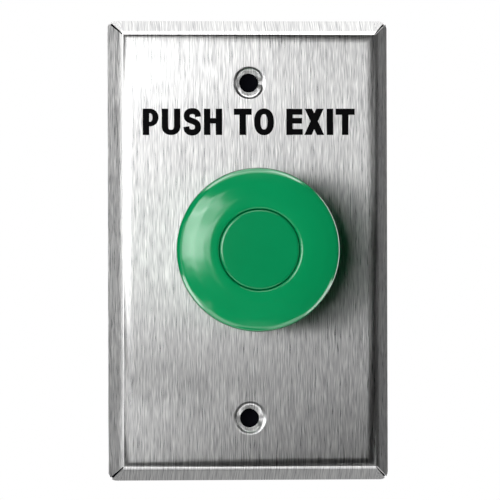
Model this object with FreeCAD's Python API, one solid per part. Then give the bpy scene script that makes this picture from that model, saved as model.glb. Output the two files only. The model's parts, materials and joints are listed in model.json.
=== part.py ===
"""Door exit button on a single-gang stainless wall plate, in millimetres.

A folded plate carries a 22 mm push-button operator with a 40 mm green
mushroom head. Behind the plate two clip-on contact blocks, one normally
open and one normally closed, are worked by the foot of the plunger.

Frame: +Z up, +X to the right of someone facing the plate, the person stands
at -Y. The origin is the centre of the plate in the plane of the wall.
Depths are written as f, the distance in front of the wall, so y = -f.
"""

import FreeCAD
import Part

import math
import os

from FreeCAD import Vector

# Wall plate, folded from one sheet
PLATE_WIDTH = 69.85
PLATE_HEIGHT = 114.3
PLATE_DEPTH = 4.9
SHEET = 0.9
BEND_ANGLE = 53.0
BEND_RADIUS = 4.2
RIM_CORNER_RADIUS = 2.0
SLIT_OUTER_WIDTH = 0.7
SLIT_INNER_WIDTH = 0.3
SLIT_REACH = 3.4

# Dimpled screw holes of the plate
SCREW_SPACING = 83.3
SCREW_HOLE_RADIUS = 2.4
DIMPLE_RADIUS = 3.6
DIMPLE_ANGLE = 49.0
DIMPLE_BEND = 1.4
DIMPLE_LAND = 1.2

# Operator: barrel, flange, key and the rings stacked on the panel
BARREL_RADIUS = 11.0
BARREL_WALL = 1.6
BARREL_CHAMFER = 0.5
PANEL_CLEARANCE = 0.2
KEY_WIDTH = 2.8
KEY_HEIGHT = 1.6
KEY_ROOT = 1.0
BORE_EDGE = 0.3
LEDGE_EDGE = 0.2
GASKET_THICKNESS = 0.8
GASKET_WIDTH = 2.7
FLANGE_WIDTH = 2.6
FLANGE_THICKNESS = 3.3
SEAL_THICKNESS = 0.8
SEAL_WIDTH = 3.2
SEAL_LIP = 0.15
SEAL_BEVEL = 0.27
BEZEL_WALL = 1.1
BEZEL_LIP = 0.8
BEZEL_OPENING_GAP = 0.7
BEZEL_ROUNDING = 1.2
BEZEL_EDGE = 0.3
FIT = 0.1

# Washer and lock nut behind the panel
WASHER_THICKNESS = 1.0
WASHER_WIDTH = 2.9
WASHER_TEETH = 12
WASHER_TOOTH_GAP = 1.2
WASHER_TOOTH_DEPTH = 1.3
NUT_WALL = 3.0
NUT_THICKNESS = 5.5
NUT_CHAMFER_ANGLE = 30.0

# Travel and the stack of moving pieces on the plunger
TRAVEL = 4.0
STOP_GAP = 0.2
PISTON_SINK = 0.1
PISTON_THICKNESS = 2.7
NECK_CLEARANCE = 0.4
NECK_WALL = 2.6
ROD_RADIUS = 4.6
LEDGE_THICKNESS = 2.5
FOOT_THICKNESS = 2.2
FOOT_ROOM = 0.6
FOOT_CLEARANCE = 0.3
FOOT_ROUNDING = 0.4
PLUNGER_LEAD = 0.5

# Mushroom head and its centre disc
HEAD_RADIUS = 20.2
HEAD_REST_GAP = 7.6
HEAD_SIDE_HEIGHT = 5.6
HEAD_DRAFT = 0.3
HEAD_DOME_RISE = 2.7
HEAD_FLAT_RADIUS = 12.6
HEAD_SHOULDER_RADIUS = 16.6
HEAD_SHOULDER_DROP = 1.05
HEAD_DOME_RADIUS = 10.0
HEAD_EDGE_RADIUS = 2.4
HEAD_SKIRT_WALL = 2.2
HEAD_SKIRT_ROUNDING = 0.5
HEAD_INNER_ROUNDING = 0.3
HEAD_CORNER_FILLET = 1.0
HEAD_CEILING = 2.3
HEAD_RIBS = 8
HEAD_RIB_WIDTH = 1.2
HEAD_RIB_HEIGHT = 2.2
HEAD_RIB_ROOT = 0.5
DISC_RADIUS = 9.85
DISC_THICKNESS = 2.2
DISC_GAP = 0.1
DISC_EDGE_RADIUS = 0.5
DISC_SPIGOT_WALL = 0.6
DISC_SPIGOT_LENGTH = 1.6

# Screw under the disc, screw of the foot, and what all screws share
HEAD_SCREW_RADIUS = 1.95
HEAD_SCREW_CAP_RADIUS = 3.8
HEAD_SCREW_CAP_HEIGHT = 2.2
HEAD_SCREW_LENGTH = 11.0
HEAD_SCREW_ROUNDING = 0.8
HEAD_WEB = 1.3
FOOT_SCREW_RADIUS = 1.25
FOOT_SCREW_CAP_RADIUS = 2.7
FOOT_SCREW_LENGTH = 7.5
CROSS_WIDTH = 0.8
CROSS_REACH_SHARE = 0.55
CROSS_DEPTH_SHARE = 0.6
SCREW_POINT = 0.4
THREAD_CLEARANCE = 0.05

# Carrier that clamps on the barrel and holds the contact blocks
CARRIER_GAP = 2.5
CARRIER_DEPTH = 9.0
CARRIER_WALL = 4.4
CARRIER_CORNER_RADIUS = 4.0
POCKET_WALL = 1.6
POCKET_FLOOR = 2.0
POCKET_CORNER_RADIUS = 1.0
POCKET_INNER_X = 4.4
CLAMP_SCREW_RADIUS = 1.5
CLAMP_SCREW_CAP_RADIUS = 2.7
CLAMP_SCREW_CAP_HEIGHT = 1.8
CLAMP_SCREW_SINK = 0.3

# Contact blocks: housing and cover
BLOCK_GAP = 0.5
BLOCK_WIDTH = 12.0
BLOCK_WALL = 1.2
BLOCK_FRONT_WALL = 1.6
BLOCK_REAR_WALL = 2.0
BAY_WALL = 2.4
BAY_INNER_WALL = 1.1
BAY_MOUTH = 0.9
COVER_THICKNESS = 1.2
COVER_RECESS = 0.4
COVER_BORDER = 1.6
COVER_RECESS_RADIUS = 1.5
GRIP_RIBS = 4
GRIP_RIB_WIDTH = 1.0
GRIP_RIB_PITCH = 2.2
GRIP_RIB_HALF_LENGTH = 7.0
PEG_RADIUS = 1.2
PEG_LENGTH = 4.0
HOOK_THICKNESS = 1.8
HOOK_WIDTH = 6.0
HOOK_REACH = 5.5
HOOK_BARB = 0.8
HOOK_BARB_LENGTH = 1.4
HOOK_CLEARANCE = 0.15
HOOK_ROOT = 0.5

# Contact blocks: actuator, bridge, strips and terminals
POST_RADIUS = 2.3
POST_CLEARANCE = 0.85
POST_ROUNDING = 0.6
POST_ROOT = 0.5
ACTUATOR_HALF_HEIGHT = 2.6
ACTUATOR_SIDE = 0.8
ACTUATOR_NOSE = 4.8
ACTUATOR_WEB = 1.5
BRIDGE_HALF_WIDTH = 1.8
BRIDGE_THICKNESS = 0.6
BRIDGE_END = 1.6
PAD_RADIUS = 1.3
PAD_HEIGHT = 0.6
PAD_OFFSET = 2.5
PAD_ROOT = 0.2
OPEN_GAP = 0.1
CLOSED_GAP = 0.05
CONTACT_SPRING_LENGTH = 4.5
STRIP_THICKNESS = 0.8
STRIP_HALF_WIDTH = 2.5
STRIP_CLEARANCE = 0.9
STRIP_END_GAP = 1.0
RISER_GAP = 1.0
RISER_BACK_GAP = 0.4
NC_CONTACT_SETBACK = 4.4
WIRE_GAP = 1.4
CLAMP_THICKNESS = 1.0
CLAMP_SIDE_GAP = 0.6
TERMINAL_SCREW_RADIUS = 1.65
TERMINAL_CAP_HEIGHT = 2.4
TERMINAL_CAP_ROUNDING = 0.5
TERMINAL_SCREW_DEPTH = 3.0
TERMINAL_SINK = 2.4

# Coil springs
RETURN_WIRE = 0.9
RETURN_TURNS = 5.5
SMALL_WIRE = 0.4
SMALL_COIL_RADIUS = 1.35
CONTACT_TURNS = 4.5
BLOCK_RETURN_TURNS = 6.5
SPRING_SEAT = 0.05
CLOSED_TURNS = 0.75
CLOSED_PITCH = 1.05

# Depths that follow from the sizes above, from the panel outwards
face_front = PLATE_DEPTH
face_back = PLATE_DEPTH - SHEET
gasket_front = face_front + GASKET_THICKNESS
flange_front = gasket_front + FLANGE_THICKNESS
seal_front = flange_front + SEAL_THICKNESS
bezel_front = seal_front + BEZEL_LIP
skirt_end = bezel_front + TRAVEL + HEAD_REST_GAP
head_edge = skirt_end + HEAD_SIDE_HEIGHT
head_front = head_edge + HEAD_DOME_RISE
recess_floor = head_front - DISC_THICKNESS
cap_seat = recess_floor - HEAD_SCREW_CAP_HEIGHT - STOP_GAP
plunger_front = cap_seat - HEAD_WEB

# and from the panel backwards
washer_back = face_back - WASHER_THICKNESS
nut_back = washer_back - NUT_THICKNESS
carrier_front = nut_back - CARRIER_GAP
block_front = carrier_front - CARRIER_DEPTH
ledge_back = block_front + STOP_GAP + FOOT_THICKNESS + TRAVEL + FOOT_ROOM
ledge_front = ledge_back + LEDGE_THICKNESS
piston_front = flange_front - PISTON_SINK
piston_back = piston_front - PISTON_THICKNESS
foot_front = ledge_back - STOP_GAP
foot_back = foot_front - FOOT_THICKNESS

# Depths inside the contact blocks
post_tip = foot_back - STOP_GAP
chamber_front = block_front - BLOCK_FRONT_WALL
actuator_front = chamber_front - STOP_GAP
no_window_front = actuator_front - ACTUATOR_NOSE
no_bridge_front = no_window_front - CONTACT_SPRING_LENGTH
no_bridge_back = no_bridge_front - BRIDGE_THICKNESS
terminal_level = no_bridge_back - 2 * PAD_HEIGHT - TRAVEL - OPEN_GAP
strip_back = terminal_level - STRIP_THICKNESS
nc_strip_front = chamber_front - NC_CONTACT_SETBACK
nc_strip_back = nc_strip_front - STRIP_THICKNESS
nc_bridge_front = nc_strip_back - 2 * PAD_HEIGHT - CLOSED_GAP
nc_bridge_back = nc_bridge_front - BRIDGE_THICKNESS
nc_window_back = nc_bridge_back - CONTACT_SPRING_LENGTH
clamp_front = strip_back - WIRE_GAP
clamp_back = clamp_front - CLAMP_THICKNESS
terminal_cap_back = clamp_back - TERMINAL_CAP_HEIGHT
block_back = terminal_cap_back - TERMINAL_SINK
chamber_back = block_back + BLOCK_REAR_WALL

# Radii and sideways places that follow from the barrel
cavity_radius = BARREL_RADIUS - BARREL_WALL
neck_radius = cavity_radius - NECK_CLEARANCE
neck_bore = neck_radius - NECK_WALL
flange_radius = BARREL_RADIUS + FLANGE_WIDTH
return_coil_radius = (ROD_RADIUS + cavity_radius) / 2
post_x = cavity_radius - POST_CLEARANCE - POST_RADIUS
block_inner_x = BLOCK_GAP / 2
block_x = block_inner_x + BLOCK_WIDTH / 2
cover_inner_x = block_inner_x + BLOCK_WIDTH - COVER_THICKNESS
bay_half_width = BLOCK_WIDTH / 2 - BAY_WALL
clamp_half = bay_half_width - CLAMP_SIDE_GAP

# Heights in a contact block, from its middle outwards
strip_inner = ACTUATOR_HALF_HEIGHT + STRIP_CLEARANCE
pad_height_z = strip_inner + PAD_OFFSET
bridge_half = pad_height_z + BRIDGE_END
riser_inner = bridge_half + RISER_GAP
riser_outer = riser_inner + STRIP_THICKNESS
chamber_half = riser_outer + RISER_BACK_GAP
bay_inner = chamber_half + BAY_INNER_WALL
terminal_z = bay_inner + clamp_half + FIT
block_half = terminal_z + clamp_half + FIT + BAY_MOUTH
strip_outer = block_half - STRIP_END_GAP
carrier_half_height = block_half - HOOK_THICKNESS - HOOK_CLEARANCE
carrier_half_width = BARREL_RADIUS + FIT + CARRIER_WALL

AXIS = Vector(0, 1, 0)
ORIGIN = Vector(0, 0, 0)
OVERCUT = 1.0
MITRE_COSINE = math.cos(math.pi / 4)


def tan_deg(angle):
    return math.tan(math.radians(angle))


def outline(corners, place):
    """A closed wire through corners (a, b) or (a, b, radius), each rounded by a
    tangent arc of its radius. A radius is limited by the shorter side beside it.
    place turns (a, b) into a point in space."""
    count = len(corners)
    points = [Vector(c[0], c[1], 0) for c in corners]
    joins = []
    for i, corner in enumerate(corners):
        here = points[i]
        back = points[i - 1] - here
        ahead = points[(i + 1) % count] - here
        radius = corner[2] if len(corner) > 2 else 0.0
        if radius <= 0:
            joins.append((here, None, here))
            continue
        half = back.getAngle(ahead) / 2
        reach = min(radius / math.tan(half), 0.49 * back.Length, 0.49 * ahead.Length)
        radius = reach * math.tan(half)
        back.normalize()
        ahead.normalize()
        towards = back + ahead
        towards.normalize()
        middle = here + towards * (radius / math.sin(half) - radius)
        joins.append((here + back * reach, middle, here + ahead * reach))
    edges = []
    for i, (start, middle, end) in enumerate(joins):
        begin = place(start.x, start.y)
        finish = place(end.x, end.y)
        if middle is not None:
            edges.append(Part.Arc(begin, place(middle.x, middle.y), finish).toShape())
        following = joins[(i + 1) % count][0]
        target = place(following.x, following.y)
        if finish.distanceToPoint(target) > 1e-7:
            edges.append(Part.LineSegment(finish, target).toShape())
    return Part.Wire(edges)


def turned(corners, x=0.0, z=0.0):
    """A solid of revolution about the line along Y through (x, z). Corners are
    (radius, f) or (radius, f, rounding)."""
    wire = outline(corners, lambda r, f: Vector(r, -f, 0))
    solid = Part.Face(wire).revolve(ORIGIN, AXIS, 360)
    solid.translate(Vector(x, 0, z))
    return solid


def cylinder(radius, f_back, f_front, x=0.0, z=0.0):
    """A round bar along Y between two depths."""
    height = f_front - f_back
    return Part.makeCylinder(radius, height, Vector(x, -f_front, z), AXIS)


def block(x_range, f_range, z_range):
    """A rectangular block between two values on each axis."""
    (x0, x1), (f0, f1), (z0, z1) = (sorted(r) for r in (x_range, f_range, z_range))
    return Part.makeBox(x1 - x0, f1 - f0, z1 - z0, Vector(x0, -f1, z0))


def plate_of(corners, f_back, f_front):
    """A flat prism whose outline in X and Z is given by corners."""
    wire = outline(corners, lambda x, z: Vector(x, -f_front, z))
    return Part.Face(wire).extrude(AXIS * (f_front - f_back))


def rounded_rectangle(half_x, half_z, radius):
    return [
        (half_x, half_z, radius),
        (-half_x, half_z, radius),
        (-half_x, -half_z, radius),
        (half_x, -half_z, radius),
    ]


def both_ends(shape):
    """The shape and its mirror image about the plane z = 0."""
    return shape, shape.mirror(ORIGIN, Vector(0, 0, 1))


def coil(wire, radius, turns, f_back, f_front, x=0.0, steps=16, sides=6):
    """A compression spring about the line along Y at x. The wire's centre climbs
    at one coil per turn at the closed ends and evenly between them. Its section
    is a polygon of the given number of sides, laid along a polygonal helix."""
    closed_rise = CLOSED_TURNS * wire * CLOSED_PITCH
    bottom = f_back + wire / 2 + SPRING_SEAT
    top = f_front - wire / 2 - SPRING_SEAT
    free_rise = top - bottom - 2 * closed_rise
    free_turns = turns - 2 * CLOSED_TURNS
    sections = int(round(turns * steps))
    points = []
    for i in range(sections + 1):
        turn = turns * i / sections
        lower = min(turn, CLOSED_TURNS) / CLOSED_TURNS
        upper = max(turn - turns + CLOSED_TURNS, 0.0) / CLOSED_TURNS
        middle = min(max(turn - CLOSED_TURNS, 0.0), free_turns) / free_turns
        f = bottom + closed_rise * (lower + upper) + free_rise * middle
        angle = 2 * math.pi * turn
        for k in range(sides):
            around = 2 * math.pi * (k + 0.5) / sides
            out = radius + wire / 2 * math.cos(around)
            points.append(
                Vector(
                    x + out * math.cos(angle),
                    -(f + wire / 2 * math.sin(around)),
                    out * math.sin(angle),
                )
            )
    facets = []
    for i in range(sections):
        for k in range(sides):
            a = i * sides + k
            b = i * sides + (k + 1) % sides
            facets.append((a, b, b + sides))
            facets.append((a, b + sides, a + sides))
    last = sections * sides
    for k in range(1, sides - 1):
        facets.append((0, k + 1, k))
        facets.append((last, last + k, last + k + 1))
    skin = Part.Shape()
    skin.makeShapeFromMesh((points, facets), 0.001)
    solid = Part.makeSolid(skin)
    if solid.Volume < 0:
        solid.reverse()
    return solid


def pan(width, height, depth, offset):
    """The filled form of the folded plate, or of the space behind its skin when
    offset is the sheet's thickness. Two prisms, each with the bent side profile,
    cross each other, which mitres the four corners."""
    slope = tan_deg(BEND_ANGLE)
    foot = OVERCUT if offset else 0.0
    inset = offset / math.sin(math.radians(BEND_ANGLE))
    radius = BEND_RADIUS - offset

    def profile(full):
        low = full / 2 - inset + foot / slope
        high = full / 2 - inset - (depth - offset) / slope
        front = depth - offset
        return [(low, -foot), (high, front, radius), (-high, front, radius), (-low, -foot)]

    reach = max(width, height)
    across = outline(profile(width), lambda x, f: Vector(x, -f, -reach))
    along = outline(profile(height), lambda z, f: Vector(-reach, -f, z))
    upright = Part.Face(across).extrude(Vector(0, 0, 2 * reach))
    level = Part.Face(along).extrude(Vector(2 * reach, 0, 0))
    return upright.common(level)


def corner_slit():
    """The tapering gap along the mitre of the upper right corner."""
    corner = Vector(PLATE_WIDTH / 2, PLATE_HEIGHT / 2, 0)
    inner = SLIT_REACH / MITRE_COSINE
    half_outer = SLIT_OUTER_WIDTH / 2
    half_inner = SLIT_INNER_WIDTH / 2
    corners = [
        (-OVERCUT, -half_outer),
        (inner, -half_inner, half_inner),
        (inner, half_inner, half_inner),
        (-OVERCUT, half_outer),
    ]

    def place(s, n):
        x = corner.x - (s + n) * MITRE_COSINE
        z = corner.y - (s - n) * MITRE_COSINE
        return Vector(x, -PLATE_DEPTH - OVERCUT, z)

    return Part.Face(outline(corners, place)).extrude(AXIS * (PLATE_DEPTH + 2 * OVERCUT))


def screw_dimple(z):
    """The dished seat pressed round a screw hole: the sheet bends down into a
    short cone of even thickness that ends at the hole."""
    slope = tan_deg(DIMPLE_ANGLE)
    outer = DIMPLE_RADIUS + DIMPLE_BEND + DIMPLE_LAND
    back_bend = DIMPLE_RADIUS + SHEET * tan_deg(DIMPLE_ANGLE / 2)
    front_edge = face_front - (DIMPLE_RADIUS - SCREW_HOLE_RADIUS) * slope
    back_edge = face_back - (back_bend - SCREW_HOLE_RADIUS) * slope
    ring = turned(
        [
            (outer, face_front),
            (DIMPLE_RADIUS, face_front, DIMPLE_BEND),
            (SCREW_HOLE_RADIUS, front_edge),
            (SCREW_HOLE_RADIUS, back_edge),
            (back_bend, face_back, DIMPLE_BEND - SHEET),
            (outer, face_back),
        ],
        z=z,
    )
    return ring, cylinder(outer, face_back - OVERCUT, face_front + OVERCUT, z=z)


def key_form(clearance, f_back, f_front):
    """The square key at twelve o'clock that keeps the operator from turning."""
    half = KEY_WIDTH / 2 + clearance
    top = BARREL_RADIUS + KEY_HEIGHT + clearance
    return block((-half, half), (f_back, f_front), (BARREL_RADIUS - KEY_ROOT, top))


def wall_plate():
    sheet = pan(PLATE_WIDTH, PLATE_HEIGHT, PLATE_DEPTH, 0.0)
    rim = rounded_rectangle(PLATE_WIDTH / 2, PLATE_HEIGHT / 2, RIM_CORNER_RADIUS)
    sheet = sheet.common(plate_of(rim, -OVERCUT, PLATE_DEPTH + OVERCUT))
    sheet = sheet.cut(pan(PLATE_WIDTH, PLATE_HEIGHT, PLATE_DEPTH, SHEET))
    slit = corner_slit()
    slits = list(both_ends(slit))
    slits += [s.mirror(ORIGIN, Vector(1, 0, 0)) for s in slits]
    hole_radius = BARREL_RADIUS + PANEL_CLEARANCE
    hole = cylinder(hole_radius, face_back - OVERCUT, face_front + OVERCUT)
    notch = key_form(PANEL_CLEARANCE, face_back - OVERCUT, face_front + OVERCUT)
    sheet = sheet.cut(slits + [hole, notch])
    for z in (SCREW_SPACING / 2, -SCREW_SPACING / 2):
        ring, blank = screw_dimple(z)
        sheet = sheet.cut(blank).fuse(ring)
    return sheet.removeSplitter()


def panel_gasket():
    inner = BARREL_RADIUS + FIT
    outer = BARREL_RADIUS + GASKET_WIDTH
    ring = turned(
        [(inner, face_front), (outer, face_front), (outer, gasket_front), (inner, gasket_front)]
    )
    return ring.cut(key_form(FIT, face_front - OVERCUT, gasket_front + OVERCUT))


def operator_housing():
    body = turned(
        [
            (BARREL_RADIUS, gasket_front),
            (flange_radius, gasket_front),
            (flange_radius, flange_front),
            (cavity_radius, flange_front, BORE_EDGE),
            (cavity_radius, ledge_front),
            (ROD_RADIUS + FIT, ledge_front, LEDGE_EDGE),
            (ROD_RADIUS + FIT, ledge_back, LEDGE_EDGE),
            (cavity_radius, ledge_back),
            (cavity_radius, block_front),
            (BARREL_RADIUS - BARREL_CHAMFER, block_front),
            (BARREL_RADIUS, block_front + BARREL_CHAMFER),
        ]
    )
    return body.fuse(key_form(0.0, face_back, gasket_front)).removeSplitter()


def seal_ring():
    lip = neck_radius + SEAL_LIP
    outer = lip + SEAL_WIDTH
    middle = (flange_front + seal_front) / 2
    return turned(
        [
            (lip, middle),
            (lip + SEAL_BEVEL, flange_front),
            (outer, flange_front),
            (outer, seal_front),
            (lip + SEAL_BEVEL, seal_front),
        ]
    )


def bezel_ring():
    inner = flange_radius + FIT
    outer = inner + BEZEL_WALL
    opening = neck_radius + BEZEL_OPENING_GAP
    foot = gasket_front + THREAD_CLEARANCE
    return turned(
        [
            (inner, foot),
            (outer, foot),
            (outer, bezel_front, BEZEL_ROUNDING),
            (opening, bezel_front, BEZEL_EDGE),
            (opening, seal_front + THREAD_CLEARANCE),
            (inner, seal_front + THREAD_CLEARANCE),
        ]
    )


def lock_washer():
    inner = BARREL_RADIUS + FIT
    outer = inner + WASHER_WIDTH
    ring = turned([(inner, washer_back), (outer, washer_back), (outer, face_back), (inner, face_back)])
    half = WASHER_TOOTH_GAP / 2
    gap = block(
        (-half, half),
        (washer_back - OVERCUT, face_back + OVERCUT),
        (outer - WASHER_TOOTH_DEPTH, outer + OVERCUT),
    )
    gaps = []
    for i in range(WASHER_TEETH):
        turned_gap = gap.copy()
        turned_gap.rotate(ORIGIN, AXIS, 360.0 * i / WASHER_TEETH)
        gaps.append(turned_gap)
    return ring.cut(gaps)


def lock_nut():
    shoulder = BARREL_RADIUS + NUT_WALL
    across_corners = 2 * shoulder / math.cos(math.pi / 6)
    sides = 6
    corners = [
        (
            across_corners / 2 * math.cos(2 * math.pi * i / sides),
            across_corners / 2 * math.sin(2 * math.pi * i / sides),
        )
        for i in range(sides)
    ]
    prism = plate_of(corners, nut_back, washer_back)
    edge = across_corners / 2 + OVERCUT
    drop = (edge - shoulder) * tan_deg(NUT_CHAMFER_ANGLE)
    bored = BARREL_RADIUS + THREAD_CLEARANCE
    envelope = turned(
        [
            (bored, washer_back),
            (edge, washer_back),
            (edge, nut_back + drop),
            (shoulder, nut_back),
            (bored, nut_back),
        ]
    )
    return prism.common(envelope)


def cross_recess(f_face, towards, reach, depth, x=0.0, z=0.0):
    """Two crossed slots for a driver, cut into a screw's face at depth f_face.
    towards is -1 when the slots go down backwards, +1 when they go forwards."""
    half = CROSS_WIDTH / 2
    f_range = (f_face - towards * OVERCUT, f_face + towards * depth)
    level = block((x - reach, x + reach), f_range, (z - half, z + half))
    upright = block((x - half, x + half), f_range, (z - reach, z + reach))
    return level.fuse(upright)


def mushroom_head():
    skirt_radius = HEAD_RADIUS - HEAD_DRAFT
    recess = DISC_RADIUS + DISC_GAP
    ceiling = recess_floor - HEAD_CEILING
    inner_low = skirt_radius - HEAD_SKIRT_WALL
    inner_high = inner_low - HEAD_DRAFT
    counterbore = HEAD_SCREW_CAP_RADIUS + STOP_GAP + DISC_SPIGOT_WALL + FIT
    hole = HEAD_SCREW_RADIUS + STOP_GAP
    body = turned(
        [
            (recess, recess_floor),
            (recess, head_front, DISC_EDGE_RADIUS),
            (HEAD_FLAT_RADIUS, head_front, HEAD_DOME_RADIUS),
            (HEAD_SHOULDER_RADIUS, head_front - HEAD_SHOULDER_DROP, HEAD_DOME_RADIUS),
            (HEAD_RADIUS, head_edge, HEAD_EDGE_RADIUS),
            (skirt_radius, skirt_end, HEAD_SKIRT_ROUNDING),
            (inner_low, skirt_end, HEAD_INNER_ROUNDING),
            (inner_high, ceiling, HEAD_CORNER_FILLET),
            (neck_radius, ceiling, HEAD_CORNER_FILLET),
            (neck_radius, piston_front),
            (neck_bore, piston_front),
            (neck_bore, plunger_front),
            (hole, plunger_front),
            (hole, cap_seat),
            (counterbore, cap_seat),
            (counterbore, recess_floor),
        ]
    )
    half = HEAD_RIB_WIDTH / 2
    middle = (neck_radius + neck_bore) / 2
    rib = block(
        (-half, half),
        (ceiling - HEAD_RIB_HEIGHT, ceiling + HEAD_RIB_ROOT),
        (middle, inner_high + HEAD_SKIRT_WALL / 2),
    )
    ribs = []
    for i in range(HEAD_RIBS):
        turned_rib = rib.copy()
        turned_rib.rotate(ORIGIN, AXIS, 180.0 * (2 * i + 1) / HEAD_RIBS)
        ribs.append(turned_rib)
    return body.fuse(ribs).removeSplitter()


def centre_disc():
    spigot_outer = HEAD_SCREW_CAP_RADIUS + STOP_GAP + DISC_SPIGOT_WALL
    spigot_inner = spigot_outer - DISC_SPIGOT_WALL
    spigot_end = recess_floor - DISC_SPIGOT_LENGTH
    return turned(
        [
            (0, recess_floor),
            (spigot_inner, recess_floor),
            (spigot_inner, spigot_end),
            (spigot_outer, spigot_end),
            (spigot_outer, recess_floor),
            (DISC_RADIUS, recess_floor),
            (DISC_RADIUS, head_front, DISC_EDGE_RADIUS),
            (0, head_front),
        ]
    )


def head_screw():
    cap_top = cap_seat + HEAD_SCREW_CAP_HEIGHT
    tip = cap_seat - HEAD_SCREW_LENGTH
    body = turned(
        [
            (0, cap_top),
            (HEAD_SCREW_CAP_RADIUS, cap_top, HEAD_SCREW_ROUNDING),
            (HEAD_SCREW_CAP_RADIUS, cap_seat),
            (HEAD_SCREW_RADIUS, cap_seat),
            (HEAD_SCREW_RADIUS, tip + SCREW_POINT),
            (HEAD_SCREW_RADIUS - SCREW_POINT, tip),
            (0, tip),
        ]
    )
    depth = HEAD_SCREW_CAP_HEIGHT * CROSS_DEPTH_SHARE
    reach = HEAD_SCREW_CAP_RADIUS * CROSS_REACH_SHARE
    return body.cut(cross_recess(cap_top, -1, reach, depth))


def plunger():
    spigot = neck_bore - FIT
    upper_hole = HEAD_SCREW_RADIUS + THREAD_CLEARANCE
    lower_hole = FOOT_SCREW_RADIUS + THREAD_CLEARANCE
    hole_end = cap_seat - HEAD_SCREW_LENGTH - OVERCUT
    lower_end = foot_back + FOOT_SCREW_LENGTH + OVERCUT
    return turned(
        [
            (upper_hole, plunger_front),
            (spigot, plunger_front, PLUNGER_LEAD),
            (spigot, piston_front),
            (cavity_radius - FIT, piston_front),
            (cavity_radius - FIT, piston_back),
            (ROD_RADIUS, piston_back),
            (ROD_RADIUS, foot_front),
            (lower_hole, foot_front),
            (lower_hole, lower_end),
            (0, lower_end),
            (0, hole_end),
            (upper_hole, hole_end),
        ]
    )


def foot_screw_cone():
    return FOOT_SCREW_CAP_RADIUS - FOOT_SCREW_RADIUS


def pusher_foot():
    hole = FOOT_SCREW_RADIUS + STOP_GAP
    sink = foot_screw_cone()
    mouth = FOOT_SCREW_CAP_RADIUS + FIT
    return turned(
        [
            (hole, foot_front),
            (cavity_radius - FOOT_CLEARANCE, foot_front, FOOT_ROUNDING),
            (cavity_radius - FOOT_CLEARANCE, foot_back, FOOT_ROUNDING),
            (mouth, foot_back),
            (hole, foot_back + sink - FIT),
        ]
    )


def foot_screw():
    tip = foot_back + FOOT_SCREW_LENGTH
    body = turned(
        [
            (0, foot_back),
            (FOOT_SCREW_CAP_RADIUS, foot_back),
            (FOOT_SCREW_RADIUS, foot_back + foot_screw_cone()),
            (FOOT_SCREW_RADIUS, tip - SCREW_POINT),
            (FOOT_SCREW_RADIUS - SCREW_POINT, tip),
            (0, tip),
        ]
    )
    depth = foot_screw_cone() * CROSS_DEPTH_SHARE
    reach = FOOT_SCREW_CAP_RADIUS * CROSS_REACH_SHARE
    return body.cut(cross_recess(foot_back, 1, reach, depth))


def clamp_screw_depth():
    """The depth at which the carrier's two clamp screws lie."""
    return carrier_front - CARRIER_DEPTH / 2


def side_bar(radius, x0, x1, f):
    """A round bar along X at z = 0 and depth f."""
    return Part.makeCylinder(radius, x1 - x0, Vector(x0, -f, 0), Vector(1, 0, 0))


def carrier_pocket():
    """The hollow moulded into the upper right corner of the carrier's front face,
    which keeps an even wall round the bore, the clamp screw and the outside."""
    low = CLAMP_SCREW_CAP_RADIUS + FIT + POCKET_WALL
    right = carrier_half_width - POCKET_WALL
    high = carrier_half_height - HOOK_BARB - POCKET_WALL
    corners = [
        (POCKET_INNER_X, low),
        (right, low, POCKET_CORNER_RADIUS),
        (right, high, CARRIER_CORNER_RADIUS - POCKET_WALL),
        (POCKET_INNER_X, high, POCKET_CORNER_RADIUS),
    ]
    f_range = (block_front + POCKET_FLOOR, carrier_front + OVERCUT)
    boss = cylinder(BARREL_RADIUS + FIT + POCKET_WALL, block_front, carrier_front + 2 * OVERCUT)
    return plate_of(corners, *f_range).cut(boss)


def contact_carrier():
    corners = rounded_rectangle(carrier_half_width, carrier_half_height, CARRIER_CORNER_RADIUS)
    frame = plate_of(corners, block_front, carrier_front)
    bore = cylinder(BARREL_RADIUS + FIT, block_front - OVERCUT, carrier_front + OVERCUT)
    f = clamp_screw_depth()
    seat = carrier_half_width - CLAMP_SCREW_CAP_HEIGHT - CLAMP_SCREW_SINK
    hole = side_bar(CLAMP_SCREW_RADIUS + THREAD_CLEARANCE, 0.0, seat + OVERCUT, f)
    sink = side_bar(CLAMP_SCREW_CAP_RADIUS + FIT, seat, carrier_half_width + OVERCUT, f)
    cuts = [bore]
    for tool in (hole, sink, *both_ends(carrier_pocket())):
        cuts += [tool, tool.mirror(ORIGIN, Vector(1, 0, 0))]
    barb_back, barb_front = hook_barb_range()
    half = HOOK_WIDTH / 2 + 2 * FIT
    for side in (-1, 1):
        x = side * block_x
        groove = block(
            (x - half, x + half),
            (barb_back - FIT, barb_front + FIT),
            (carrier_half_height - HOOK_BARB, carrier_half_height + OVERCUT),
        )
        cuts += list(both_ends(groove))
    return frame.cut(cuts)


def clamp_screws():
    f = clamp_screw_depth()
    seat = carrier_half_width - CLAMP_SCREW_CAP_HEIGHT - CLAMP_SCREW_SINK
    shank = side_bar(CLAMP_SCREW_RADIUS, BARREL_RADIUS, seat, f)
    cap = side_bar(CLAMP_SCREW_CAP_RADIUS, seat, seat + CLAMP_SCREW_CAP_HEIGHT, f)
    half = CROSS_WIDTH / 2
    slot = block(
        (seat + CLAMP_SCREW_CAP_HEIGHT / 2, carrier_half_width),
        (f - half, f + half),
        (-CLAMP_SCREW_CAP_RADIUS - OVERCUT, CLAMP_SCREW_CAP_RADIUS + OVERCUT),
    )
    screw = shank.fuse(cap).removeSplitter().cut(slot)
    return Part.makeCompound([screw, screw.mirror(ORIGIN, Vector(1, 0, 0))])


def hook_barb_range():
    """Depths between which the barb of a block's hook lies, back and front."""
    tip = block_front + HOOK_REACH
    return tip - HOOK_BARB_LENGTH, tip


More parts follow.
